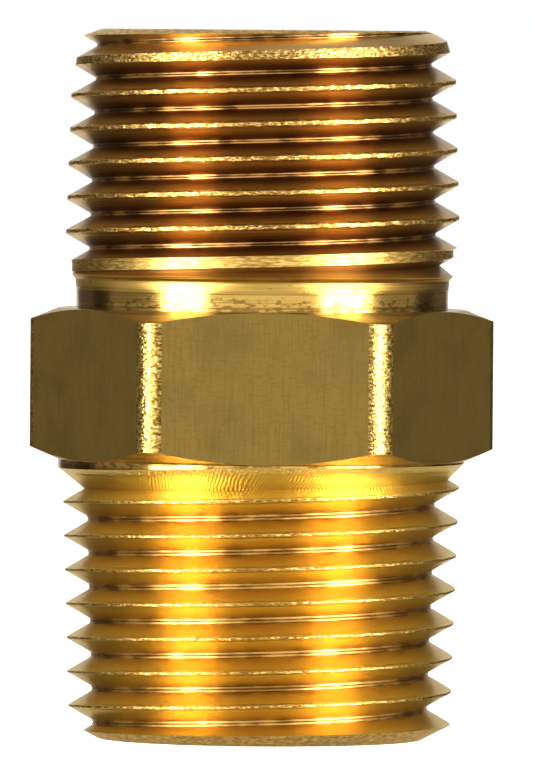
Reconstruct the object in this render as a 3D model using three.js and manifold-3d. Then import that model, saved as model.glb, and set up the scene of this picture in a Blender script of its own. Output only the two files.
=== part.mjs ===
import * as THREE from 'three';
import { mergeVertices } from 'three/addons/utils/BufferGeometryUtils.js';
import Module from 'manifold-3d';

// A brass hex nipple: one solid piece of hexagon bar with a taper pipe thread turned on each end.
// Millimetres, +Z up. The lower end face stands on z = 0 and the bore runs along Z.

// Lengths along the axis
const LOWER_LENGTH = 14.85;
const HEX_HEIGHT = 8.15;
const UPPER_LENGTH = 14.9;

// Hexagon bar
const ACROSS_FLATS = 21.9;
const BAR_CORNER_RADIUS = 1.5;
const HEX_CLEAR_RADIUS = 13.2;
const HEX_UNDERSIDE_RADIUS = 10.75;
const HEX_UNDERSIDE_ANGLE = THREE.MathUtils.degToRad(24);
const HEX_FACE_RADIUS = 10.9;
const HEX_FACE_ANGLE = THREE.MathUtils.degToRad(22);

// Taper pipe thread, 1/2-14: fourteen turns to the inch, 60 degree form, 1 in 16 on diameter
const PITCH = 25.4 / 14;
const RADIUS_TAPER = 1 / 32;
const FLANK_SLOPE = Math.tan(THREE.MathUtils.degToRad(30));
const SMALL_END_CREST_RADIUS = 10.18;
const THREAD_DEPTH = 1.34;
const CREST_FLAT = 0.15;
const ROOT_FLAT = PITCH - CREST_FLAT - 2 * THREAD_DEPTH * FLANK_SLOPE;

// The threading die's lead is a cone. Where cutting stops it leaves the grooves shallower and shallower.
const LEAD_ROOT_RADIUS = 9.2;
const LEAD_SLOPE = Math.tan(THREE.MathUtils.degToRad(51));

// How far the centre of a groove lies from the end face, at the back, in turns
const UPPER_GROOVE_TURNS_FROM_END = 0.77;
const LOWER_GROOVE_TURNS_FROM_END = 0.2;

// Turned surfaces
const LOWER_FACE_RADIUS = 8.65;
const LOWER_CHAMFER_ANGLE = THREE.MathUtils.degToRad(27);
const BLANK_RADIUS = 10.46;
const CLEAR_RADIUS = 11.2;
const LAND_RADIUS = 10.2;
const LAND_CONE_START = 11;
const LAND_START = 11.7;
const LAND_END = 13.1;
const SHANK_TOP_RADIUS = 10.04;
const SHANK_TOP = 13.35;
const SHANK_RADIUS = 9.95;
const SHANK_WAIST = 13.9;
const COLLAR_RADIUS = 10.87;
const COLLAR_HEIGHT = 0.4;

// The upper tip, as radii and distances below the end face: a shallow chamfer, then a blunt nose that
// trims the first crest and runs out to full thread
const UPPER_FACE_RADIUS = 8.65;
const TIP_RADIUS = 9.72;
const TIP_DROP = 0.39;
const NOSE_TOP_RADIUS = 9.92;
const NOSE_TOP_DROP = 1.05;
const NOSE_RADIUS = 10.05;
const NOSE_DROP = 1.85;
const FULL_THREAD_RADIUS = 10.3;
const FULL_THREAD_DROP = 2.7;
const CLEAR_DROP = 4.5;

// Bore
const BORE_RADIUS = 7;
const BORE_CHAMFER = 0.25;

// How finely round surfaces are cut, and how far shapes run into or past one another
const SIDES = 40;
const CORNER_STEPS = 5;
const OVERLAP = 2;
const SECTION_CORNERS = 4;

// Profiles are turned starting from the back, so that their seam lies there
const SEAM = Math.PI;

const HEX_BOTTOM = LOWER_LENGTH;
const HEX_TOP = LOWER_LENGTH + HEX_HEIGHT;
const TOTAL_LENGTH = LOWER_LENGTH + HEX_HEIGHT + UPPER_LENGTH;

const wasm = await Module();
wasm.setup();

// A closed mesh as a solid, with the triangles that merging has folded flat left out
function toSolid(geometry) {
  const bare = geometry.clone();
  bare.deleteAttribute('normal');
  bare.deleteAttribute('uv');
  const merged = mergeVertices(bare);
  const corners = merged.index.array;
  const kept = [];
  for (let i = 0; i < corners.length; i += 3) {
    const [a, b, c] = corners.slice(i, i + 3);
    if (a !== b && b !== c && c !== a) {
      kept.push(a, b, c);
    }
  }
  const mesh = new wasm.Mesh({
    numProp: 3,
    vertProperties: new Float32Array(merged.attributes.position.array),
    triVerts: new Uint32Array(kept),
  });
  return new wasm.Manifold(mesh);
}

function toGeometry(solid) {
  const mesh = solid.getMesh();
  const geometry = new THREE.BufferGeometry();
  geometry.setAttribute('position', new THREE.BufferAttribute(mesh.vertProperties, 3));
  geometry.setIndex(new THREE.BufferAttribute(mesh.triVerts, 1));
  const flat = geometry.toNonIndexed();
  flat.computeVertexNormals();
  return flat;
}

// A profile of [radius, height] pairs turned about Z
function turn(profile) {
  const points = profile.map(([radius, height]) => new THREE.Vector2(radius, height));
  const geometry = new THREE.LatheGeometry(points, SIDES, SEAM);
  return geometry.rotateX(Math.PI / 2);
}

// The four corners of a groove's section: crest edge, root edge, root edge, crest edge
function grooveSection(end, centre) {
  const distance = end.distance(centre);
  const nominal = SMALL_END_CREST_RADIUS + distance * RADIUS_TAPER;
  const crest = Math.min(nominal, end.blankRadius);
  const root = nominal - THREAD_DEPTH;
  const halfRoot = ROOT_FLAT / 2;
  const halfMouth = halfRoot + (crest - root) * FLANK_SLOPE;
  return [
    [crest, centre - halfMouth],
    [root, centre - halfRoot],
    [root, centre + halfRoot],
    [crest, centre + halfMouth],
  ];
}

// A rod with a right-hand groove along it, a little longer than the end it is for.
// The rod is turned plain, then each ring of its profile is moved onto the helix.
function threadedRod(end) {
  const grooves = Math.ceil((end.high - end.low) / PITCH) + 2;
  const profile = [[0, end.low], [CLEAR_RADIUS, end.low]];
  const firstRing = profile.length;
  for (let ring = 0; ring < grooves * SECTION_CORNERS; ring += 1) {
    profile.push([SMALL_END_CREST_RADIUS, end.low]);
  }
  profile.push([CLEAR_RADIUS, end.high], [0, end.high]);
  const geometry = turn(profile);
  const position = geometry.attributes.position;
  const first = end.groove - Math.ceil((end.groove - end.low) / PITCH + 1) * PITCH;
  for (let side = 0; side <= SIDES; side += 1) {
    const turned = side / SIDES;
    const angle = (turned % 1) * 2 * Math.PI + SEAM;
    for (let k = 0; k < grooves; k += 1) {
      const centre = first + (k + turned) * PITCH;
      grooveSection(end, centre).forEach(([radius, height], corner) => {
        const past = height <= end.low || height >= end.high;
        const r = past ? CLEAR_RADIUS : radius;
        const z = THREE.MathUtils.clamp(height, end.low, end.high);
        const index = side * profile.length + firstRing + k * SECTION_CORNERS + corner;
        position.setXYZ(index, r * Math.sin(angle), -r * Math.cos(angle), z);
      });
    }
  }
  return toSolid(geometry);
}

// What the die's lead leaves standing: a cone from a starting radius down to the thread's root
function leadCone(start, startHeight, away) {
  const length = (start - LEAD_ROOT_RADIUS) / LEAD_SLOPE;
  const inside = startHeight - away * (HEX_HEIGHT / 2);
  const profile = [
    [0, inside],
    [start, inside],
    [start, startHeight],
    [LEAD_ROOT_RADIUS, startHeight + away * length],
    [0, startHeight + away * length],
  ];
  return toSolid(turn(away > 0 ? profile : profile.reverse()));
}

// The upper end: chamfered tip, threads, a land where they run out, and a plain shank to the hexagon
function upperEnd() {
  const rod = threadedRod({
    low: HEX_TOP - OVERLAP,
    high: TOTAL_LENGTH + OVERLAP * 2,
    groove: TOTAL_LENGTH - UPPER_GROOVE_TURNS_FROM_END * PITCH,
    blankRadius: BLANK_RADIUS,
    distance: (height) => TOTAL_LENGTH - height,
  });
  const blank = turn([
    [0, HEX_TOP - OVERLAP / 2],
    [SHANK_RADIUS, HEX_TOP - OVERLAP / 2],
    [SHANK_RADIUS, TOTAL_LENGTH - SHANK_WAIST],
    [SHANK_TOP_RADIUS, TOTAL_LENGTH - SHANK_TOP],
    [LAND_RADIUS, TOTAL_LENGTH - LAND_END],
    [LAND_RADIUS, TOTAL_LENGTH - LAND_START],
    [CLEAR_RADIUS, TOTAL_LENGTH - LAND_CONE_START],
    [CLEAR_RADIUS, TOTAL_LENGTH - CLEAR_DROP],
    [FULL_THREAD_RADIUS, TOTAL_LENGTH - FULL_THREAD_DROP],
    [NOSE_RADIUS, TOTAL_LENGTH - NOSE_DROP],
    [NOSE_TOP_RADIUS, TOTAL_LENGTH - NOSE_TOP_DROP],
    [TIP_RADIUS, TOTAL_LENGTH - TIP_DROP],
    [UPPER_FACE_RADIUS, TOTAL_LENGTH],
    [0, TOTAL_LENGTH],
  ]);
  const overrun = (CLEAR_RADIUS - LAND_RADIUS) / LEAD_SLOPE;
  const lead = leadCone(CLEAR_RADIUS, TOTAL_LENGTH - LAND_END - overrun, 1);
  return rod.add(lead).intersect(toSolid(blank));
}

// The lower end: chamfered tip, and threads that run out at a ledge right under the hexagon
function lowerEnd() {
  const rod = threadedRod({
    low: -OVERLAP * 2,
    high: HEX_BOTTOM + OVERLAP,
    groove: LOWER_GROOVE_TURNS_FROM_END * PITCH,
    blankRadius: COLLAR_RADIUS,
    distance: (height) => height,
  });
  const chamferHeight = (CLEAR_RADIUS - LOWER_FACE_RADIUS) * Math.tan(LOWER_CHAMFER_ANGLE);
  const blank = turn([
    [0, 0],
    [LOWER_FACE_RADIUS, 0],
    [CLEAR_RADIUS, chamferHeight],
    [CLEAR_RADIUS, HEX_BOTTOM + OVERLAP / 2],
    [0, HEX_BOTTOM + OVERLAP / 2],
  ]);
  const lead = leadCone(COLLAR_RADIUS, HEX_BOTTOM - COLLAR_HEIGHT, -1);
  return rod.intersect(toSolid(blank)).add(lead);
}

// The bar's section: a hexagon with two flats facing front and back, and rolled corners
function barSection() {
  const shape = new THREE.Shape();
  const centreRadius = (ACROSS_FLATS / 2 - BAR_CORNER_RADIUS) / Math.cos(Math.PI / 6);
  for (let corner = 0; corner < 6; corner += 1) {
    const angle = corner * Math.PI / 3;
    const x = centreRadius * Math.cos(angle);
    const y = centreRadius * Math.sin(angle);
    shape.absarc(x, y, BAR_CORNER_RADIUS, angle - Math.PI / 6, angle + Math.PI / 6, false);
  }
  return shape;
}

// The wrench hexagon, with both faces chamfered to a circle by a turning tool
function hexagon() {
  const bar = new THREE.ExtrudeGeometry(barSection(), {
    depth: HEX_HEIGHT + OVERLAP * 2,
    bevelEnabled: false,
    curveSegments: CORNER_STEPS,
  });
  bar.translate(0, 0, HEX_BOTTOM - OVERLAP);
  const rise = (HEX_CLEAR_RADIUS - HEX_UNDERSIDE_RADIUS) * Math.tan(HEX_UNDERSIDE_ANGLE);
  const drop = (HEX_CLEAR_RADIUS - HEX_FACE_RADIUS) * Math.tan(HEX_FACE_ANGLE);
  const turned = turn([
    [0, HEX_BOTTOM],
    [HEX_UNDERSIDE_RADIUS, HEX_BOTTOM],
    [HEX_CLEAR_RADIUS, HEX_BOTTOM + rise],
    [HEX_CLEAR_RADIUS, HEX_TOP - drop],
    [HEX_FACE_RADIUS, HEX_TOP],
    [0, HEX_TOP],
  ]);
  return toSolid(bar).intersect(toSolid(turned));
}

// The through bore, with a small chamfer at each mouth
function bore() {
  const mouth = BORE_RADIUS + BORE_CHAMFER + OVERLAP;
  return toSolid(turn([
    [0, -OVERLAP],
    [mouth, -OVERLAP],
    [BORE_RADIUS, BORE_CHAMFER],
    [BORE_RADIUS, TOTAL_LENGTH - BORE_CHAMFER],
    [mouth, TOTAL_LENGTH + OVERLAP],
    [0, TOTAL_LENGTH + OVERLAP],
  ]));
}

function hexNippleBody() {
  const outside = hexagon().add(upperEnd()).add(lowerEnd());
  return toGeometry(outside.subtract(bore()));
}

const brass = new THREE.MeshStandardMaterial({
  name: 'turned_brass',
  color: 0xc79a3f,
  roughness: 0.32,
  metalness: 1,
});

const body = new THREE.Mesh(hexNippleBody(), brass);
body.name = 'hex_nipple_body';

const part = new THREE.Group();
part.name = 'hex_nipple';
part.add(body);

export default part;
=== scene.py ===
# %% [markdown]
# # A brass hex nipple
#
# A hex nipple joins two female pipe fittings. It is one solid piece: a length of hexagon bar is turned
# down at both ends, a die cuts a taper pipe thread on each, and a drill goes right through. Nothing on it
# moves, so the whole of this lesson is about one shape and the several finishes that one metal can have.
#
# The CAD model is loaded first. It fixes the size and the place of everything that follows.

import math

import bmesh
import bpy
from mathutils import Matrix, Vector, noise


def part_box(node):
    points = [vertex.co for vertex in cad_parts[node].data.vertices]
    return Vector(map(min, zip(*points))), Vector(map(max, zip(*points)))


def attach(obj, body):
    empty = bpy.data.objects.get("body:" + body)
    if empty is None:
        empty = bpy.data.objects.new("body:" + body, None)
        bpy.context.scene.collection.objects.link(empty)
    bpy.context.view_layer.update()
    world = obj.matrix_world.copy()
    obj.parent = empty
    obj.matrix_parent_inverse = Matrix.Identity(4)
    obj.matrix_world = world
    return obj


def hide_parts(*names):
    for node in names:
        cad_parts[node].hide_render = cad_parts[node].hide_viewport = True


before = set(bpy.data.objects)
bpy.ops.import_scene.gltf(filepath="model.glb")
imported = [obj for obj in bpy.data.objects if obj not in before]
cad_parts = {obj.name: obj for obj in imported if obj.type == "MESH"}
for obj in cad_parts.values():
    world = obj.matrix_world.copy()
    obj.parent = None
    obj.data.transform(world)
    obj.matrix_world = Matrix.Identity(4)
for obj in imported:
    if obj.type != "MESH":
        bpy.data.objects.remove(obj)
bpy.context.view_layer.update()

# %% [markdown]
# ## Sizes
#
# Everything here is in metres, but a fitting is drawn in millimetres, so a small helper turns one into the
# other. The overall length and the width across the flats come from the CAD box. The rest are the sizes a
# machinist would read off the drawing.

# %% Driving sizes


def mm(value):
    return value * 0.001


low, high = (Vector(corner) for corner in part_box("hex_nipple_body"))
LENGTH = high.z - low.z
ACROSS_FLATS = high.y - low.y
LOWER_LENGTH = mm(14.85)
HEX_HEIGHT = mm(8.15)
HEX_BOTTOM = low.z + LOWER_LENGTH
HEX_TOP = HEX_BOTTOM + HEX_HEIGHT
TOP = high.z
print(f"{LENGTH * 1000:.1f} mm long, {ACROSS_FLATS * 1000:.1f} mm across flats")

# %% [markdown]
# ## The thread
#
# A 1/2-14 taper pipe thread has fourteen turns to the inch, flanks at 60 degrees to each other, and grows
# by 1 in 16 on its diameter. A screw modifier could sweep it, but `bmesh.ops.spin` does the same in one
# call when it is given a small lift for each step, and it leaves plain mesh that can be shaped further.
#
# What is spun is one ridge, drawn as a few points from the middle of one root to the middle of the next.
# `subdivide_edges` then splits its flanks and its crest, which gives the ragged edge made later some points
# to move. The fine notch in the middle of the root is where two turns meet.

# %% One ridge of the thread
PITCH = mm(25.4 / 14)
TAPER = 1 / 32
DEPTH = mm(1.26)
FLANK = math.tan(math.radians(30))
ROOT_NOTCH = mm(0.04)
SMALL_END_CREST = mm(10.18)
FLANK_CUTS = 3
CREST_CUTS = 2


def ridge_outline(bm, height, crest_flat):
    """One pitch of the thread at the small end, from the middle of one root to the middle of the next."""
    root_flat = PITCH - crest_flat - 2 * DEPTH * FLANK
    corners = [
        (-PITCH / 2, -DEPTH - ROOT_NOTCH),
        (-PITCH / 2 + ROOT_NOTCH, -DEPTH),
        (-PITCH / 2 + root_flat / 2, -DEPTH),
        (-crest_flat / 2, 0),
        (crest_flat / 2, 0),
        (PITCH / 2 - root_flat / 2, -DEPTH),
        (PITCH / 2 - ROOT_NOTCH, -DEPTH),
        (PITCH / 2, -DEPTH - ROOT_NOTCH),
    ]
    verts = [bm.verts.new((SMALL_END_CREST + out, 0, height + up)) for up, out in corners]
    edges = [bm.edges.new(pair) for pair in zip(verts, verts[1:])]
    bmesh.ops.subdivide_edges(bm, edges=[edges[2], edges[4]], cuts=FLANK_CUTS)
    bmesh.ops.subdivide_edges(bm, edges=[edges[3]], cuts=CREST_CUTS)


print(f"pitch {PITCH * 1000:.3f} mm, {SMALL_END_CREST * 2000:.2f} mm over the crests at the small end")

# %% [markdown]
# A cut crest is never clean. Brass tears a little as the die passes, so each crest is a narrow ragged band
# with small nicks. Sculpting them would take hours, so the crest's points are moved by two sizes of noise,
# one for the waviness and one for the torn grain. A crest is never pushed out past its own line, only in or
# along. The noise is worked out from the place of each point and a set seed, so it is the same on every
# run. Without a seed of its own, it would follow the clock.

# %% Ragged crests
CREST_BAND = mm(0.2)
CREST_WAVE = mm(0.9)
CREST_GRAIN = mm(0.28)
WAVE_PUSH = 0.5
WAVE_LIFT = 0.6
CREST_SEED = 1

noise.seed_set(CREST_SEED)


def rough_crests(bm, crest_radius, amount):
    for vert in bm.verts:
        radius = vert.co.xy.length
        near = 1 - (crest_radius(vert.co.z) - radius) / CREST_BAND
        if near <= 0:
            continue
        wave = noise.noise_vector(vert.co / CREST_WAVE)
        grains = noise.noise_vector(vert.co / CREST_GRAIN)
        push = (wave.x * WAVE_PUSH + grains.x) * amount * near
        lift = (wave.y * WAVE_LIFT + grains.y) * amount * near
        vert.co.xy *= (radius + min(push, 0)) / radius
        vert.co.z += lift


print(f"crests are ragged within {CREST_BAND * 1000:.1f} mm of the top of the thread")

# %% [markdown]
# One turn is spun from the ridge. Each further turn is a copy raised by a pitch, which is much quicker than
# one long spin, and merging doubles joins them. The taper is put on afterwards, by moving every point out
# as it gets further from the small end.
#
# The rod is made too long on purpose and cut square with `bisect_plane`. Its ends are then filled, because
# only a closed solid can be cut or joined later.

# %% Spin the ridge into a tapered rod
STEPS = 288
SPARE_TURNS = 1.5
MERGE = mm(0.001)
ON_THE_CUT = mm(0.0005)


def threaded_rod(crest_at_right, crest_flat, raggedness, from_height, to_height, distance):
    """A closed rod with a right-hand thread. distance(z) says how far z is from the small end."""
    bm = bmesh.new()
    spare = SPARE_TURNS * PITCH
    below = math.ceil((crest_at_right - from_height + spare) / PITCH)
    turns = math.ceil((to_height - from_height + 2 * spare) / PITCH) + 1
    ridge_outline(bm, crest_at_right - below * PITCH, crest_flat)
    bmesh.ops.spin(
        bm,
        geom=bm.verts[:] + bm.edges[:],
        cent=(0, 0, 0),
        axis=(0, 0, 1),
        dvec=(0, 0, PITCH / STEPS),
        angle=math.tau,
        steps=STEPS,
        use_merge=False,
    )
    one_turn = bm.verts[:] + bm.edges[:] + bm.faces[:]
    for turn in range(1, turns):
        copied = bmesh.ops.duplicate(bm, geom=one_turn)["geom"]
        points = [item for item in copied if isinstance(item, bmesh.types.BMVert)]
        bmesh.ops.translate(bm, vec=(0, 0, turn * PITCH), verts=points)
    bmesh.ops.remove_doubles(bm, verts=bm.verts, dist=MERGE)
    for vert in bm.verts:
        radius = vert.co.xy.length
        vert.co.xy *= (radius + distance(vert.co.z) * TAPER) / radius
    rough_crests(bm, lambda z: SMALL_END_CREST + distance(z) * TAPER, raggedness)
    for height, outward in ((from_height, -1), (to_height, 1)):
        cut = bmesh.ops.bisect_plane(
            bm,
            geom=bm.verts[:] + bm.edges[:] + bm.faces[:],
            dist=ON_THE_CUT,
            plane_co=(0, 0, height),
            plane_no=(0, 0, outward),
            clear_outer=True,
        )["geom_cut"]
        rim = [item for item in cut if isinstance(item, bmesh.types.BMEdge)]
        bmesh.ops.edgeloop_fill(bm, edges=rim)
    bmesh.ops.recalc_face_normals(bm, faces=bm.faces)
    print(f"threaded rod: {turns} turns, {len(bm.faces)} faces")
    return bm


# %% [markdown]
# ## Turned shapes
#
# A lathe makes every other round surface. Its outline is a few points of radius and height, spun a full
# turn with `use_merge` so that the last step joins the first. Points on the axis merge into one pole.

# %% Turn an outline


def turned(points):
    bm = bmesh.new()
    verts = [bm.verts.new((radius, 0, height)) for radius, height in points]
    for pair in zip(verts, verts[1:]):
        bm.edges.new(pair)
    bmesh.ops.spin(
        bm,
        geom=bm.verts[:] + bm.edges[:],
        cent=(0, 0, 0),
        axis=(0, 0, 1),
        angle=math.tau,
        steps=STEPS,
        use_merge=True,
    )
    bmesh.ops.remove_doubles(bm, verts=bm.verts, dist=MERGE)
    bmesh.ops.recalc_face_normals(bm, faces=bm.faces)
    return bm


# %% [markdown]
# ## Cutting and joining
#
# The real part is made by cutting, so the model is too. A Boolean modifier with the Manifold solver
# subtracts, intersects or joins two closed meshes, and its result is kept at once as plain mesh.

# %% Helpers that cut and join


def solid(bm, name):
    mesh = bpy.data.meshes.new(name)
    bm.to_mesh(mesh)
    bm.free()
    piece = bpy.data.objects.new(name, mesh)
    bpy.context.scene.collection.objects.link(piece)
    return piece


def machine(work, tool, operation):
    cut = work.modifiers.new(operation.lower(), "BOOLEAN")
    cut.object = tool
    cut.operation = operation
    cut.solver = "MANIFOLD"
    depsgraph = bpy.context.evaluated_depsgraph_get()
    result = bpy.data.meshes.new_from_object(work.evaluated_get(depsgraph))
    work.modifiers.remove(cut)
    work.data = result
    bpy.data.objects.remove(tool)
    print(f"{work.name} after {operation.lower()}: {len(result.polygons)} faces")


# %% [markdown]
# ## Where the threads stop
#
# The first few teeth of a threading die are cut back to a cone, which is called its lead. Where the die
# stops, that cone is left on the work: the grooves get shallower and fade out. Fading each groove by hand
# would be slow, so the cone is turned as a solid of its own and joined to the threaded rod.

# %% The die's lead
LEAD_SLOPE = math.tan(math.radians(51))
LEAD_ROOT = mm(9.2)
LEAD_RINGS = 14
CLEAR = mm(11.2)


def lead_cone(radius, height, away):
    """Cone from this radius and height down to the thread's root. away is +1 upwards, -1 downwards."""
    length = (radius - LEAD_ROOT) / LEAD_SLOPE
    inside = height - away * HEX_HEIGHT / 2
    points = [(0, inside), (radius, inside)]
    for ring in range(LEAD_RINGS + 1):
        down = ring / LEAD_RINGS
        points.append((radius - (radius - LEAD_ROOT) * down, height + away * length * down))
    points.append((0, height + away * length))
    return turned(points)


print(f"a groove fades out over {(CLEAR - LEAD_ROOT) / LEAD_SLOPE * 1000:.1f} mm")

# %% [markdown]
# ## The upper end
#
# The bar was turned to a blank before the die went on, and the thread was only cut into part of it. So the
# threaded rod and its cone are trimmed by that blank, which is one turned outline. From the hexagon up it
# is a plain shank with a soft waist, a narrow land where the thread stops, the full thread, and a rounded
# tip that takes the top off the first crest. Each pair below is a radius and how far it lies below the tip.

# %% Thread, land and shank
SPARE = mm(1)
UPPER_FACE = mm(8.65)
LAND = mm(10.2)
LAND_START = mm(11.7)
LAND_END = mm(13.1)
SHANK = mm(9.95)
SHANK_WAIST = [(SHANK, mm(14.3)), (mm(9.96), mm(13.8)), (mm(10), mm(13.35))]
FULL_THREAD = [(CLEAR, mm(11)), (CLEAR, mm(4.5))]
ROUNDED_TIP = [(mm(10.3), mm(2.7)), (mm(10.05), mm(1.85)), (mm(9.92), mm(1.05)), (mm(9.72), mm(0.39))]

upper = solid(
    threaded_rod(
        crest_at_right=TOP - 0.48 * PITCH,
        crest_flat=mm(0.18),
        raggedness=mm(0.06),
        from_height=HEX_TOP - 2 * SPARE,
        to_height=TOP + SPARE,
        distance=lambda z: TOP - z,
    ),
    "upper_thread",
)
overrun = (CLEAR - LAND) / LEAD_SLOPE
machine(upper, solid(lead_cone(CLEAR, TOP - LAND_END - overrun, 1), "upper_lead"), "UNION")
upper_blank = turned([
    (0, HEX_TOP - SPARE),
    (SHANK, HEX_TOP - SPARE),
    *[(radius, TOP - down) for radius, down in SHANK_WAIST],
    (LAND, TOP - LAND_END),
    (LAND, TOP - LAND_START),
    *[(radius, TOP - down) for radius, down in FULL_THREAD + ROUNDED_TIP],
    (UPPER_FACE, TOP),
    (0, TOP),
])
machine(upper, solid(upper_blank, "upper_blank"), "INTERSECT")

# %% [markdown]
# ## The lower end
#
# Here the thread runs right up to the hexagon, and its cone ends at a low ledge. The die stopped a little
# out of square, so the ledge has its full height at the left and almost none on the right. Lifting the
# points of the turned cone by their x gives that lean, with no second shape to join. The tip has a plain
# 27 degree chamfer.

# %% Thread and ledge
LOWER_FACE = mm(8.65)
LOWER_CHAMFER = math.tan(math.radians(27))
LEDGE = mm(10.87)
LEDGE_HEIGHT = mm(0.4)
LEDGE_LEAN = 0.9

lower = solid(
    threaded_rod(
        crest_at_right=low.z + 0.45 * PITCH,
        crest_flat=mm(0.1),
        raggedness=mm(0.035),
        from_height=low.z - SPARE,
        to_height=HEX_BOTTOM + 2 * SPARE,
        distance=lambda z: z - low.z,
    ),
    "lower_thread",
)
lower_blank = turned([
    (0, low.z),
    (LOWER_FACE, low.z),
    (CLEAR, low.z + (CLEAR - LOWER_FACE) * LOWER_CHAMFER),
    (CLEAR, HEX_BOTTOM + SPARE),
    (0, HEX_BOTTOM + SPARE),
])
machine(lower, solid(lower_blank, "lower_blank"), "INTERSECT")
lower_lead = lead_cone(LEDGE, HEX_BOTTOM - LEDGE_HEIGHT, -1)
for vert in lower_lead.verts:
    near_rim = (vert.co.xy.length - LEAD_ROOT) / (LEDGE - LEAD_ROOT)
    if near_rim > 0 and vert.co.z < HEX_BOTTOM:
        from_left = min(1, max(0, 1 + vert.co.x / LEDGE))
        vert.co.z += LEDGE_HEIGHT * LEDGE_LEAN * near_rim * from_left
machine(lower, solid(lower_lead, "lower_lead"), "UNION")

# %% [markdown]
# ## The hexagon
#
# Drawn bar has rounded corners, so the hexagon starts as a six-sided circle, turned so that two flats face
# front and back. It is extruded, and its six long edges are bevelled. A lathe tool then chamfers both faces,
# the underside at 24 degrees and the upper face at 22. Where a cone meets the flats it leaves the curved
# edges that every machined nut has, which is why the chamfer is cut and not bevelled.

# %% The wrench hexagon
BAR_CORNER = mm(1.5)
CORNER_STEPS = 10
HEX_CLEAR = mm(13.2)
HEX_UNDERSIDE = mm(10.75)
HEX_FACE = mm(10.9)
UNDERSIDE_CHAMFER = math.tan(math.radians(24))
FACE_CHAMFER = math.tan(math.radians(22))

bar = bmesh.new()
bmesh.ops.create_circle(bar, cap_ends=True, segments=6, radius=ACROSS_FLATS / math.sqrt(3))
bmesh.ops.transform(bar, matrix=Matrix.Rotation(math.radians(30), 4, "Z"), verts=bar.verts)
bmesh.ops.translate(bar, vec=(0, 0, HEX_BOTTOM - SPARE), verts=bar.verts)
grown = bmesh.ops.extrude_face_region(bar, geom=bar.faces[:])["geom"]
lifted = [item for item in grown if isinstance(item, bmesh.types.BMVert)]
bmesh.ops.translate(bar, vec=(0, 0, HEX_HEIGHT + 2 * SPARE), verts=lifted)
bmesh.ops.recalc_face_normals(bar, faces=bar.faces)
upright = [edge for edge in bar.edges if abs(edge.verts[0].co.z - edge.verts[1].co.z) > HEX_HEIGHT]
bmesh.ops.bevel(
    bar,
    geom=upright,
    offset=BAR_CORNER * FLANK,
    offset_type="OFFSET",
    affect="EDGES",
    segments=CORNER_STEPS,
    profile=0.5,
    material=-1,
    clamp_overlap=True,
)
nipple = solid(bar, "wrench_hexagon")
hexagon_faces = turned([
    (0, HEX_BOTTOM),
    (HEX_UNDERSIDE, HEX_BOTTOM),
    (HEX_CLEAR, HEX_BOTTOM + (HEX_CLEAR - HEX_UNDERSIDE) * UNDERSIDE_CHAMFER),
    (HEX_CLEAR, HEX_TOP - (HEX_CLEAR - HEX_FACE) * FACE_CHAMFER),
    (HEX_FACE, HEX_TOP),
    (0, HEX_TOP),
])
machine(nipple, solid(hexagon_faces, "hexagon_faces"), "INTERSECT")

# %% [markdown]
# ## Putting it together
#
# The three shapes overlap deep inside the hexagon, so joining them leaves no seam. The drill comes last, as
# it does on the lathe. It is one turned solid with a cone at each end, and the cones chamfer the mouths.

# %% Join the metal and drill it
BORE = mm(7)
BORE_CHAMFER = mm(0.25)
DRILL_PAST = mm(2)

machine(nipple, upper, "UNION")
machine(nipple, lower, "UNION")
mouth = BORE + BORE_CHAMFER + DRILL_PAST
drill = turned([
    (0, low.z - DRILL_PAST),
    (mouth, low.z - DRILL_PAST),
    (BORE, low.z + BORE_CHAMFER),
    (BORE, TOP - BORE_CHAMFER),
    (mouth, TOP + DRILL_PAST),
    (0, TOP + DRILL_PAST),
])
machine(nipple, solid(drill, "drill"), "DIFFERENCE")
nipple.name = "hex_nipple"
nipple.data.name = "hex_nipple"

# %% [markdown]
# ## Brass
#
# Free-cutting brass is copper with about 38 per cent zinc and a little lead. Polished it reflects most red
# light, less green and little blue, so each bounce between two flanks of a thread makes it more orange.
# That is why the grooves look like copper although the metal is the same. The finishes differ in how
# the surface was made: drawn, turned, die-cut or drilled, and some also carry painted shade and highlights.

# %% Material helpers


def srgb(code):
    """An sRGB hex colour as linear red, green, blue and alpha."""
    channels = [int(code[place:place + 2], 16) / 255 for place in (1, 3, 5)]
    linear = [c / 12.92 if c <= 0.04045 else ((c + 0.055) / 1.055) ** 2.4 for c in channels]
    return (*linear, 1)


def add(tree, kind, settings=None, **links):
    """Add one node. settings are its own values; links are socket values or other nodes' outputs."""
    node = tree.nodes.new(kind)
    for key, value in (settings or {}).items():
        setattr(node, key, value)
    for key, value in links.items():
        name = key.replace("_", " ")
        socket = node.inputs[int(key[1:])] if key[1:].isdigit() else node.inputs[name]
        if isinstance(value, bpy.types.NodeSocket):
            tree.links.new(value, socket)
        else:
            socket.default_value = value
    return node


def new_material(name):
    material = bpy.data.materials.new(name)
    material.use_nodes = True
    material.node_tree.nodes.clear()
    return material, material.node_tree


# %% [markdown]
# Every finish below is made from the same three things: a grain of a known size, colours laid over one
# another where that grain or the shape calls for them, and a relief that adds the same grains as height.
# Sizes are given in millimetres along x, y and z, so a line left by a tool is long in x and y and very
# short in z. Real tool marks are often finer than this, and are drawn as coarse as they need to show.

# %% Grain, layers and relief


def grain(tree, place, size, detail=2.0):
    """Noise with features about this many millimetres long along each axis."""
    scale = [1 / mm(length) for length in size]
    sized = add(tree, "ShaderNodeVectorMath", {"operation": "MULTIPLY"}, _0=place, _1=scale)
    speckle = add(tree, "ShaderNodeTexNoise", Vector=sized.outputs["Vector"], Scale=1.0, Detail=detail)
    return speckle.outputs["Fac"]


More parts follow.
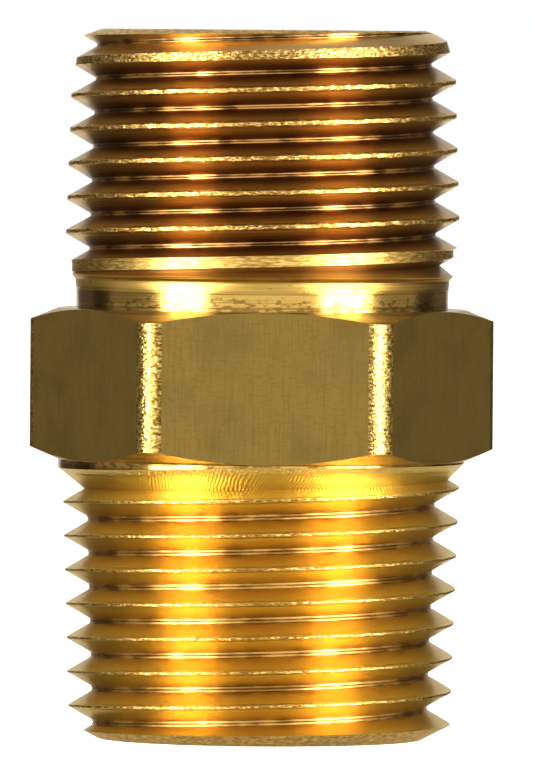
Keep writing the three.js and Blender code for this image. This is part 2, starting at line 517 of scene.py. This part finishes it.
def layer(tree, below, colour, value, start, end, most=1.0):
    """Lay a colour over the one below, more and more as a value goes from start to end."""
    amount = add(
        tree, "ShaderNodeMapRange", Value=value, From_Min=start, From_Max=end, To_Min=0.0, To_Max=most,
    )
    mix = add(
        tree, "ShaderNodeMix", {"data_type": "RGBA"},
        _0=amount.outputs["Result"], _6=below, _7=srgb(colour),
    )
    return mix.outputs[2]


def relief(tree, patterns):
    """One bump from pairs of a pattern and the height that it stands."""
    total = 0.0
    for pattern, height in patterns:
        raised = add(
            tree, "ShaderNodeMath", {"operation": "MULTIPLY_ADD"}, _0=pattern, _1=height, _2=total,
        )
        total = raised.outputs[0]
    return add(tree, "ShaderNodeBump", Height=total, Distance=1.0, Strength=1.0).outputs["Normal"]


def metal(tree, colour, roughness, normal):
    shader = add(
        tree, "ShaderNodeBsdfPrincipled", Metallic=1.0, Base_Color=colour, Roughness=roughness, Normal=normal,
    )
    add(tree, "ShaderNodeOutputMaterial", Surface=shader.outputs["BSDF"])


# %% [markdown]
# ### How deep in a groove
#
# A die scrapes its grooves instead of slicing them. A flank is painted brightest beside the crest and browner
# towards the root, which is painted shade for the light that a deep groove keeps out. A painted texture could
# show that, but the shader can find out for itself how deep it is. It compares its distance from the axis
# with the crest's, which grows with the taper.

# %% Depth below the crest


def depth_below_crest(tree, place, small_end):
    """0 at a crest and 1 at the bottom of a groove."""
    split = add(tree, "ShaderNodeSeparateXYZ", Vector=place)
    flat = add(tree, "ShaderNodeCombineXYZ", X=split.outputs["X"], Y=split.outputs["Y"])
    radius = add(tree, "ShaderNodeVectorMath", {"operation": "LENGTH"}, Vector=flat.outputs["Vector"])
    along = add(tree, "ShaderNodeMath", {"operation": "SUBTRACT"}, _0=split.outputs["Z"], _1=small_end)
    distance = add(tree, "ShaderNodeMath", {"operation": "ABSOLUTE"}, _0=along.outputs[0])
    crest = add(
        tree, "ShaderNodeMath", {"operation": "MULTIPLY_ADD"},
        _0=distance.outputs[0], _1=TAPER, _2=SMALL_END_CREST,
    )
    below = add(
        tree, "ShaderNodeMath", {"operation": "SUBTRACT"}, _0=crest.outputs[0], _1=radius.outputs["Value"],
    )
    return add(tree, "ShaderNodeMath", {"operation": "DIVIDE"}, _0=below.outputs[0], _1=DEPTH).outputs[0]


# %% [markdown]
# ### Scraping lines
#
# The die's teeth drag fine lines round each flank. A noise that is long round the axis and short along it
# gives lines, but they would lie level and cross the thread. Shifting it by the depth in the groove makes
# the lines follow the flanks instead.

# %% Lines that follow the flanks
LINES_PER_METRE = (60, 60, 400)
LINES_PER_FLANK = 14.0


def scraping_lines(tree, place, depth):
    drawn_out = add(tree, "ShaderNodeVectorMath", {"operation": "MULTIPLY"}, _0=place, _1=LINES_PER_METRE)
    scraped = add(tree, "ShaderNodeMath", {"operation": "MULTIPLY"}, _0=depth, _1=LINES_PER_FLANK)
    lift = add(tree, "ShaderNodeCombineXYZ", Z=scraped.outputs[0])
    line_place = add(tree, "ShaderNodeVectorMath", _0=drawn_out.outputs[0], _1=lift.outputs[0])
    lines = add(tree, "ShaderNodeTexNoise", Vector=line_place.outputs[0], Scale=1.0, Detail=3.0)
    return lines.outputs["Fac"]


# %% [markdown]
# ### Chatter
#
# Near the hexagon the die shook as it stopped, and left slanted marks on the lower thread. They are a sine
# of the angle round the axis that leans with the height. A soft noise makes it wander, and broad patches
# fade it in and out, because chatter is never even.

# %% Slanted chatter marks
CHATTER_MARKS = 300
CHATTER_LEAN = -16 / mm(1)
CHATTER_WANDER = 16.0
CHATTER_START = HEX_BOTTOM - mm(1.9)
CHATTER_FULL = HEX_BOTTOM - mm(1.1)


def chatter_marks(tree, place):
    split = add(tree, "ShaderNodeSeparateXYZ", Vector=place)
    turn = add(
        tree, "ShaderNodeMath", {"operation": "ARCTAN2"}, _0=split.outputs["Y"], _1=split.outputs["X"],
    )
    lean = add(tree, "ShaderNodeMath", {"operation": "MULTIPLY"}, _0=split.outputs["Z"], _1=CHATTER_LEAN)
    wander = grain(tree, place, (1.6, 1.6, 1.0))
    phase = add(
        tree, "ShaderNodeMath", {"operation": "MULTIPLY_ADD"},
        _0=wander, _1=CHATTER_WANDER, _2=lean.outputs[0],
    )
    angle = add(
        tree, "ShaderNodeMath", {"operation": "MULTIPLY_ADD"},
        _0=turn.outputs[0], _1=CHATTER_MARKS, _2=phase.outputs[0],
    )
    marks = add(tree, "ShaderNodeMath", {"operation": "SINE"}, _0=angle.outputs[0])
    patches = grain(tree, place, (3.0, 3.0, 3.0))
    patchy = add(
        tree, "ShaderNodeMapRange", Value=patches, From_Min=0.42, From_Max=0.58, To_Min=0.45, To_Max=1.0,
    )
    faded = add(
        tree, "ShaderNodeMath", {"operation": "MULTIPLY"}, _0=marks.outputs[0], _1=patchy.outputs["Result"],
    )
    return faded.outputs[0]


print(f"{CHATTER_MARKS} marks round the thread, over its last {(HEX_BOTTOM - CHATTER_START) * 1000:.1f} mm")

# %% [markdown]
# ### Die-cut flanks
#
# The finish of both threads is built up in layers, from the flank's own brass to the darkest dirt and painted
# shade. The flanks that face up are painted a little duller, which is painted shade, while the first turn at
# the upper tip is painted back to the light flank colour, which is painted light. The bottom of each groove
# has a narrow lighter line, partly a painted highlight that brightens what its flat reflects, and dirt lies
# on that line in patches. Just under the hexagon the lower thread is painted dark, which is painted shade
# under the ledge. The crest is laid on last, and the torn grain makes its edge uneven.

# %% Die-cut brass
TORN_GRAIN = (0.3, 0.3, 0.14)
STAIN_GRAIN = (1.4, 1.4, 0.5)
CREST_TATTER = -0.45
STAIN_SPREAD = 0.5
LINE_HEIGHT = mm(0.006)
CREST_HEIGHT = mm(0.08)


def die_cut_brass(name, small_end, painted_shade_above, crest, flank, painted_shade_and_lines, rubbed, root, roughness, chatter):
    material, tree = new_material(name)
    place = add(tree, "ShaderNodeTexCoord").outputs["Object"]
    height = add(tree, "ShaderNodeSeparateXYZ", Vector=place).outputs["Z"]
    facing = add(tree, "ShaderNodeTexCoord").outputs["Normal"]
    facing_up = add(tree, "ShaderNodeSeparateXYZ", Vector=facing).outputs["Z"]
    depth = depth_below_crest(tree, place, small_end)
    lines = scraping_lines(tree, place, depth)
    torn = grain(tree, place, TORN_GRAIN, 3.0)
    stains = grain(tree, place, STAIN_GRAIN, 3.0)
    dirty = add(
        tree, "ShaderNodeMath", {"operation": "MULTIPLY_ADD"}, _0=stains, _1=STAIN_SPREAD, _2=depth,
    )
    ragged = add(tree, "ShaderNodeMath", {"operation": "MULTIPLY_ADD"}, _0=torn, _1=CREST_TATTER, _2=depth)

    # Painted shade: the flank darkens from beside the crest towards the root of each groove.
    colour = layer(tree, srgb(flank), painted_shade_and_lines, depth, start=0.1, end=0.9)
    # Painted shade: flanks that face up are made a little darker.
    colour = layer(tree, colour, painted_shade_and_lines, facing_up, start=0.3, end=0.7, most=0.35)
    colour = layer(tree, colour, painted_shade_and_lines, lines, start=0.5, end=0.75, most=0.45)
    # Painted light: the first turn at the upper tip is taken back towards the light flank colour.
    colour = layer(tree, colour, flank, height, start=TOP - mm(1.1), end=TOP - mm(0.7), most=0.8)
    # Partly a painted highlight: a lighter line at the very bottom of each groove brightens what the root's
    # flats reflect.
    colour = layer(tree, colour, rubbed, depth, start=0.95, end=0.98)
    colour = layer(tree, colour, root, dirty.outputs[0], start=1.21, end=1.29, most=0.8)
    # Painted shade: above a given height, just under the hexagon's ledge, the thread is made dark.
    colour = layer(tree, colour, root, height, start=painted_shade_above, end=painted_shade_above + mm(0.05))
    colour = layer(tree, colour, crest, ragged.outputs[0], start=-0.1, end=-0.17)

    on_crest = add(
        tree, "ShaderNodeMapRange", Value=depth,
        From_Min=0.16, From_Max=0.04, To_Min=0.0, To_Max=CREST_HEIGHT,
    )
    chatter_height = add(
        tree, "ShaderNodeMapRange", Value=height,
        From_Min=CHATTER_START, From_Max=CHATTER_FULL, To_Min=0.0, To_Max=chatter,
    )
    normal = relief(tree, [
        (lines, LINE_HEIGHT),
        (torn, on_crest.outputs["Result"]),
        (chatter_marks(tree, place), chatter_height.outputs["Result"]),
    ])
    metal(tree, colour, roughness, normal)
    return material


# %% [markdown]
# ### Torn crests
#
# The very top of each thread, the blunt nose of the first one and the land at the last one are not scraped
# by the die's flanks. Their skin is torn into small bright grains with dark pits between them. The same
# recipe, with other colours and sizes, gives the corners of the bar, the drilled bore and the faced ends.

# %% Torn brass


def torn_brass(name, colour, bright, pit, size, depth, roughness):
    material, tree = new_material(name)
    place = add(tree, "ShaderNodeTexCoord").outputs["Object"]
    grains = grain(tree, place, size, 3.0)
    coarse = grain(tree, place, [length * 3 for length in size], 2.0)
    shade = layer(tree, srgb(colour), pit, grains, start=0.5, end=0.38)
    shade = layer(tree, shade, bright, grains, start=0.52, end=0.64)
    shade = layer(tree, shade, pit, coarse, start=0.55, end=0.7, most=0.5)
    metal(tree, shade, roughness, relief(tree, [(grains, depth)]))
    return material


# %% [markdown]
# ### Turned brass
#
# A pointed tool leaves fine rings. They are crisp on the upper half of the shank. Near the hexagon the tool
# dwelt and rubbed, which left the metal smoother and stained. So the rings' height and the roughness both
# change with the height on the part. The chamfers of the hexagon are turned too, and have one roughness.

# %% Rings and stains
DWELL_END = HEX_TOP + mm(0.9)
CRISP_FROM = HEX_TOP + mm(1.3)
FAINT_RING = mm(0.003)
CRISP_RING = mm(0.05)


def turned_brass(name, colour, stain, dirt, ringed, rubbed):
    """ringed is the roughness of the crisp rings, and rubbed is that of the metal below them."""
    material, tree = new_material(name)
    place = add(tree, "ShaderNodeTexCoord").outputs["Object"]
    height = add(tree, "ShaderNodeSeparateXYZ", Vector=place).outputs["Z"]
    rings = grain(tree, place, (40, 40, 0.15), 5.0)
    stains = grain(tree, place, (0.5, 0.5, 0.22), 4.0)
    low_down = add(
        tree, "ShaderNodeMapRange", Value=height,
        From_Min=HEX_TOP + mm(1.0), From_Max=HEX_TOP + mm(0.1), To_Min=-0.06, To_Max=0.12,
    )
    dirty = add(tree, "ShaderNodeMath", {"operation": "ADD"}, _0=stains, _1=low_down.outputs["Result"])
    shade = layer(tree, srgb(colour), stain, rings, start=0.42, end=0.62, most=0.75)
    shade = layer(tree, shade, stain, dirty.outputs[0], start=0.56, end=0.68, most=dirt)
    ring_height = add(
        tree, "ShaderNodeMapRange", Value=height,
        From_Min=DWELL_END, From_Max=CRISP_FROM, To_Min=FAINT_RING, To_Max=CRISP_RING,
    )
    roughness = ringed
    if ringed != rubbed:
        roughness = add(
            tree, "ShaderNodeMapRange", Value=height,
            From_Min=DWELL_END, From_Max=CRISP_FROM, To_Min=rubbed, To_Max=ringed,
        ).outputs["Result"]
    metal(tree, shade, roughness, relief(tree, [(rings, ring_height.outputs["Result"])]))
    return material


# %% [markdown]
# ### Drawn bar
#
# The flats are never touched by a tool. They keep the skin of the bar, which was pulled through a steel hole
# and has faint lines along it, a fine woven grain across them, and cloudy tarnish. It is the roughest of the
# finishes, so it shines least.

# %% Drawn bar brass


def drawn_bar_brass(name, colour, dark, roughness):
    material, tree = new_material(name)
    place = add(tree, "ShaderNodeTexCoord").outputs["Object"]
    draw_lines = grain(tree, place, (0.12, 0.12, 2.5), 2.0)
    weave = grain(tree, place, (0.3, 0.3, 0.12), 2.0)
    clouds = grain(tree, place, (2.5, 2.5, 2.5), 3.0)
    shade = layer(tree, srgb(colour), dark, draw_lines, start=0.45, end=0.7, most=0.35)
    shade = layer(tree, shade, dark, weave, start=0.5, end=0.7, most=0.35)
    shade = layer(tree, shade, dark, clouds, start=0.45, end=0.65, most=0.45)
    metal(tree, shade, roughness, relief(tree, [(draw_lines, mm(0.0008)), (weave, mm(0.0006))]))
    return material


# %% [markdown]
# ### All the finishes
#
# Each surface gets one material, and the numbers that differ are given by name. The lower thread is brighter
# than the upper one. Over its last tenth of a millimetre or so under the hexagon it is painted dark, which is
# painted shade under the ledge. On the upper thread that height is above the tip, so it has none.

# %% Make the finishes
nipple.data.materials.clear()
for finish in (
    # In each thread below, the darker flank colour is painted shade deep in the grooves and on up-facing
    # flanks, and it also draws the scraping lines. The lighter root-line colour is partly a painted
    # highlight. The darkest colour is dirt in patches, and on the lower thread also painted shade under the
    # hexagon.
    die_cut_brass(
        "die_cut_brass", small_end=TOP, painted_shade_above=TOP + mm(1),
        crest="#f0d084", flank="#f0cc82", painted_shade_and_lines="#6c4426", rubbed="#c49858", root="#3c2410",
        roughness=0.28, chatter=0.0,
    ),
    die_cut_brass(
        "bright_die_cut_brass", small_end=low.z, painted_shade_above=HEX_BOTTOM - mm(0.14),
        crest="#f0d890", flank="#f2d87c", painted_shade_and_lines="#c8a456", rubbed="#c8a058", root="#7c5624",
        roughness=0.31, chatter=mm(0.0045),
    ),
    torn_brass(
        "torn_crest_brass", colour="#b48a42", bright="#ecd088", pit="#704e22",
        size=(0.2, 0.2, 0.09), depth=mm(0.03), roughness=0.38,
    ),
    turned_brass("turned_brass", colour="#cca656", stain="#7e5e28", dirt=0.8, ringed=0.33, rubbed=0.17),
    drawn_bar_brass("drawn_bar_brass", colour="#786230", dark="#5f4d24", roughness=0.56),
    # Lit and shaded copies of one corner finish: this lighter, smoother one is a painted highlight on one
    # side of each rolled corner, and the darker, rougher one below is painted shade on the other side.
    torn_brass(
        "corner_painted_highlight_brass", colour="#ac8e48", bright="#ccae6a", pit="#76582a",
        size=(0.24, 0.24, 0.12), depth=mm(0.045), roughness=0.2,
    ),
    torn_brass(
        "drilled_brass", colour="#b08a48", bright="#d9b163", pit="#6b4a20",
        size=(6, 6, 0.2), depth=mm(0.006), roughness=0.45,
    ),
    torn_brass(
        "faced_brass", colour="#d4b05c", bright="#e8cc80", pit="#b08a42",
        size=(0.3, 0.3, 0.12), depth=mm(0.01), roughness=0.42,
    ),
    turned_brass("chamfered_brass", colour="#ccb078", stain="#94702e", dirt=0.25, ringed=0.3, rubbed=0.3),
    torn_brass(
        "corner_painted_shade_brass", colour="#887032", bright="#b4985a", pit="#543e1c",
        size=(0.24, 0.24, 0.12), depth=mm(0.045), roughness=0.44,
    ),
    torn_brass(
        "rubbed_land_brass", colour="#c09a4e", bright="#dcb866", pit="#94703a",
        size=(0.5, 0.5, 0.08), depth=mm(0.012), roughness=0.36,
    ),
):
    nipple.data.materials.append(finish)
print(f"{len(nipple.data.materials)} finishes")

# %% [markdown]
# ## Which face has which finish
#
# The cuts are over, so each face can be sorted by where it is and which way it points: the bore, the bar's
# own skin on the hexagon, the cut thread, and everything the lathe tool touched. One side of each rolled
# corner is given a lighter, smoother finish as a painted highlight, and the other side a darker, rougher one
# as painted shade.

# %% Sort the faces
FLAT_MARGIN = math.radians(1.5)
SHADED_SIDE_START = math.radians(5)
HALF_FLAT = math.radians(30)
BORE_SKIN = mm(0.1)
BAR_SKIN = mm(0.05)
FACED_SKIN = mm(0.1)
FACED_TILT = 0.875
CHAMFER_TILT = 0.1
LEDGE_TILT = 0.25
CREST_TILT = 0.4
CREST_DEPTH = DEPTH * 0.4
LAND_SKIN_START = LAND_START - mm(0.3)


def hexagon_finish(normal):
    if abs(normal.z) >= CHAMFER_TILT:
        return "chamfered_brass"
    turn = math.atan2(normal.x, -normal.y)
    past_corner = turn % (2 * HALF_FLAT) - HALF_FLAT
    if HALF_FLAT - abs(past_corner) < FLAT_MARGIN:
        return "drawn_bar_brass"
    # One side of each rolled corner gets the painted highlight finish, the other the painted shade finish.
    return "corner_painted_shade_brass" if past_corner > SHADED_SIDE_START else "corner_painted_highlight_brass"


def finish_of(face):
    centre, normal = face.center, face.normal
    radius = centre.xy.length
    if radius < BORE + BORE_SKIN:
        return "drilled_brass"
    if HEX_BOTTOM < centre.z < HEX_TOP and radius > ACROSS_FLATS / 2 - BAR_SKIN:
        return hexagon_finish(normal)
    upper_thread = centre.z > TOP - LAND_END
    below_ledge = centre.z < HEX_BOTTOM - LEDGE_HEIGHT
    lower_thread = centre.z < HEX_BOTTOM and (abs(normal.z) > LEDGE_TILT or below_ledge)
    if not (upper_thread or lower_thread):
        return "turned_brass"
    from_end = TOP - centre.z if upper_thread else centre.z - low.z
    outward = normal.z if upper_thread else -normal.z
    tip_chamfer = max(0, radius - UPPER_FACE) * LOWER_CHAMFER
    if outward > FACED_TILT and from_end < tip_chamfer + FACED_SKIN:
        return "faced_brass"
    crest = SMALL_END_CREST + from_end * TAPER
    if abs(normal.z) < CREST_TILT and crest - radius < CREST_DEPTH:
        on_land = upper_thread and from_end > LAND_SKIN_START
        return "rubbed_land_brass" if on_land else "torn_crest_brass"
    return "die_cut_brass" if upper_thread else "bright_die_cut_brass"


places = {name: place for place, name in enumerate(nipple.data.materials.keys())}
for face in nipple.data.polygons:
    face.material_index = places[finish_of(face)]
for name, place in places.items():
    print(f"{name}: {sum(face.material_index == place for face in nipple.data.polygons)} faces")

# %% [markdown]
# ## The finished piece takes the CAD body's place
#
# Round surfaces are shaded smooth, but the edges of a machined part are crisp, so every edge sharper than
# 28 degrees stays sharp. The piece then says which body it moves with, and the CAD body it replaces is
# hidden.

# %% Finish the nipple
SHARP_EDGE = math.radians(28)

nipple.data.shade_smooth()
nipple.data.set_sharp_from_angle(angle=SHARP_EDGE)
triangles = sum(len(face.vertices) - 2 for face in nipple.data.polygons)
print(f"{triangles} triangles")
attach(nipple, "root")
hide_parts("hex_nipple_body")

# %% [markdown]
# ## Floor, light and camera
#
# Bright metal shows what is around it, so the studio matters as much as the metal. The floor is white and
# glows a little, so it reads as plain paper, and it is left out of the reflections. A grey card behind gives
# the rims something quiet to reflect. The paper lies a hair below the fitting, so that the two never
# coincide.

# %% Floor and grey card
FLOOR_SIZE = 3.0
FLOOR_GAP = mm(0.02)
CARD_PLACE = (0, 0.5, 0.3)


def stage_material(name, colour, glow):
    material, tree = new_material(name)
    shader = add(
        tree, "ShaderNodeBsdfPrincipled", Base_Color=srgb(colour), Roughness=0.9,
        Emission_Color=srgb(colour), Emission_Strength=glow,
    )
    add(tree, "ShaderNodeOutputMaterial", Surface=shader.outputs["BSDF"])
    return material


def stage_sheet(name, size, material, place):
    bm = bmesh.new()
    bmesh.ops.create_grid(bm, x_segments=1, y_segments=1, size=0.5)
    bmesh.ops.scale(bm, vec=(*size, 1), verts=bm.verts)
    bmesh.ops.transform(bm, matrix=place, verts=bm.verts)
    sheet = solid(bm, name)
    sheet.data.materials.append(material)
    return sheet


white = stage_material("white_paper", "#ffffff", 1.1)
floor = stage_sheet("floor", (FLOOR_SIZE, FLOOR_SIZE), white, Matrix.Translation((0, 0, -FLOOR_GAP)))
floor.visible_glossy = False
grey = stage_material("grey_card", "#a8a49c", 0.3)
card_place = Matrix.Translation(CARD_PLACE) @ Matrix.Rotation(math.radians(90), 4, "X")
card = stage_sheet("backdrop", (0.42, 0.9), grey, card_place)
card.visible_camera = False

# %% [markdown]
# The edges of bright metal vanish against white paper unless they reflect something dark, so two dark cards
# stand beside the fitting. They show only in its reflections, so they never hide it from another side.

# %% Dark cards
DARK_CARD_DISTANCE = 0.12
DARK_CARD_BEHIND = 0.22
DARK_CARD_LENGTH = 0.26
DARK_CARD_HEIGHT = 0.4

dark = stage_material("dark_card", "#4c443a", 0.0)
upright_turn = Matrix.Rotation(math.radians(90), 4, "Y")
for side, name in ((-1, "left_dark_card"), (1, "right_dark_card")):
    stand = Matrix.Translation((side * DARK_CARD_DISTANCE, DARK_CARD_BEHIND, DARK_CARD_HEIGHT / 2))
    dark_card = stage_sheet(name, (DARK_CARD_HEIGHT, DARK_CARD_LENGTH), dark, stand @ upright_turn)
    dark_card.visible_camera = False
    dark_card.visible_shadow = False

# %% [markdown]
# The room itself is white to the camera and dim to the metal. Its lower half is warmer and brighter than its
# walls, as light thrown back by a bench would be, and this keeps the undersides golden. The ceiling is pale.

# %% Surroundings
world = bpy.data.worlds.new("studio")
bpy.context.scene.world = world
world.use_nodes = True
tree = world.node_tree
tree.nodes.clear()
direction = add(tree, "ShaderNodeTexCoord").outputs["Generated"]
upwards = add(tree, "ShaderNodeSeparateXYZ", Vector=direction).outputs["Z"]
room_light = layer(tree, srgb("#464440"), "#d8c8a0", upwards, start=-0.1, end=-0.4)
room_light = layer(tree, room_light, "#dcd4c4", upwards, start=0.6, end=0.8)
room = add(tree, "ShaderNodeBackground", Color=room_light, Strength=0.9)
paper = add(tree, "ShaderNodeBackground", Color=(1, 1, 1, 1), Strength=1.0)
seen = add(tree, "ShaderNodeLightPath")
blend = add(
    tree, "ShaderNodeMixShader",
    _0=seen.outputs["Is Camera Ray"], _1=room.outputs["Background"], _2=paper.outputs["Background"],
)
add(tree, "ShaderNodeOutputWorld", Surface=blend.outputs["Shader"])

# %% [markdown]
# Two tall soft boxes stand in front, one on each side, and make the two upright bands of light. A wide faint
# light between them fills the middle, and two fainter ones at the sides keep the edges from going black. An
# area light gives such a band a soft edge, which a lamp at a point could not. Each is placed by its azimuth
# and elevation round the fitting and faces its middle.

# %% Soft boxes
CENTRE = Vector((0, 0, (low.z + high.z) / 2))


def soft_box(name, azimuth, elevation, distance, width, height, power):
    lamp = bpy.data.lights.new(name, "AREA")
    lamp.shape = "RECTANGLE"
    lamp.size = width
    lamp.size_y = height
    lamp.energy = power
    box = bpy.data.objects.new(name, lamp)
    bpy.context.scene.collection.objects.link(box)
    flat = math.cos(math.radians(elevation))
    direction = Vector((
        math.sin(math.radians(azimuth)) * flat,
        -math.cos(math.radians(azimuth)) * flat,
        math.sin(math.radians(elevation)),
    ))
    box.location = CENTRE + direction * distance
    box.rotation_euler = direction.to_track_quat("Z", "Y").to_euler()
    box.visible_camera = False
    print(f"{name}: {power} W at {azimuth} degrees")


soft_box("left_soft_box", azimuth=-50.5, elevation=0, distance=0.6, width=0.30, height=0.7, power=10.5)
soft_box("right_soft_box", azimuth=52, elevation=0, distance=0.6, width=0.34, height=0.7, power=10.5)
soft_box("front_fill", azimuth=0, elevation=2, distance=1.2, width=1.5, height=0.8, power=4.6)
soft_box("left_side_fill", azimuth=-88, elevation=0, distance=0.6, width=0.48, height=0.7, power=0.3)
soft_box("right_side_fill", azimuth=88, elevation=0, distance=0.6, width=0.48, height=0.7, power=0.3)

# %% [markdown]
# The camera stands well back with a long lens, level with the top of the fitting. So the turns of the thread
# look nearly straight, and the hexagon is seen from very slightly above. The lens follows from the distance
# and from how much height the frame has to show. A very small roll and offset frame the fitting.

# %% Camera
CAMERA_DISTANCE = 0.74
CAMERA_AZIMUTH = math.radians(-0.91)
CAMERA_ROLL = math.radians(0.43)
AIM_OFFSET = Vector((mm(0.26), 0, mm(-0.33)))
FRAME_HEIGHT = mm(41.75)
SENSOR = 36.0

camera_data = bpy.data.cameras.new("camera")
camera_data.sensor_width = SENSOR
camera_data.lens = SENSOR * CAMERA_DISTANCE / FRAME_HEIGHT
camera_data.clip_start = 0.01
camera_data.clip_end = 10
camera = bpy.data.objects.new("camera", camera_data)
bpy.context.scene.collection.objects.link(camera)
eye = Vector((
    math.sin(CAMERA_AZIMUTH) * CAMERA_DISTANCE,
    -math.cos(CAMERA_AZIMUTH) * CAMERA_DISTANCE,
    TOP,
))
look = (eye - CENTRE - AIM_OFFSET).to_track_quat("Z", "Y").to_matrix().to_4x4()
camera.location = eye
camera.rotation_euler = (look @ Matrix.Rotation(CAMERA_ROLL, 4, "Z")).to_euler()
bpy.context.scene.camera = camera
bpy.context.scene.view_settings.view_transform = "Standard"
print(f"{camera_data.lens:.0f} mm lens")
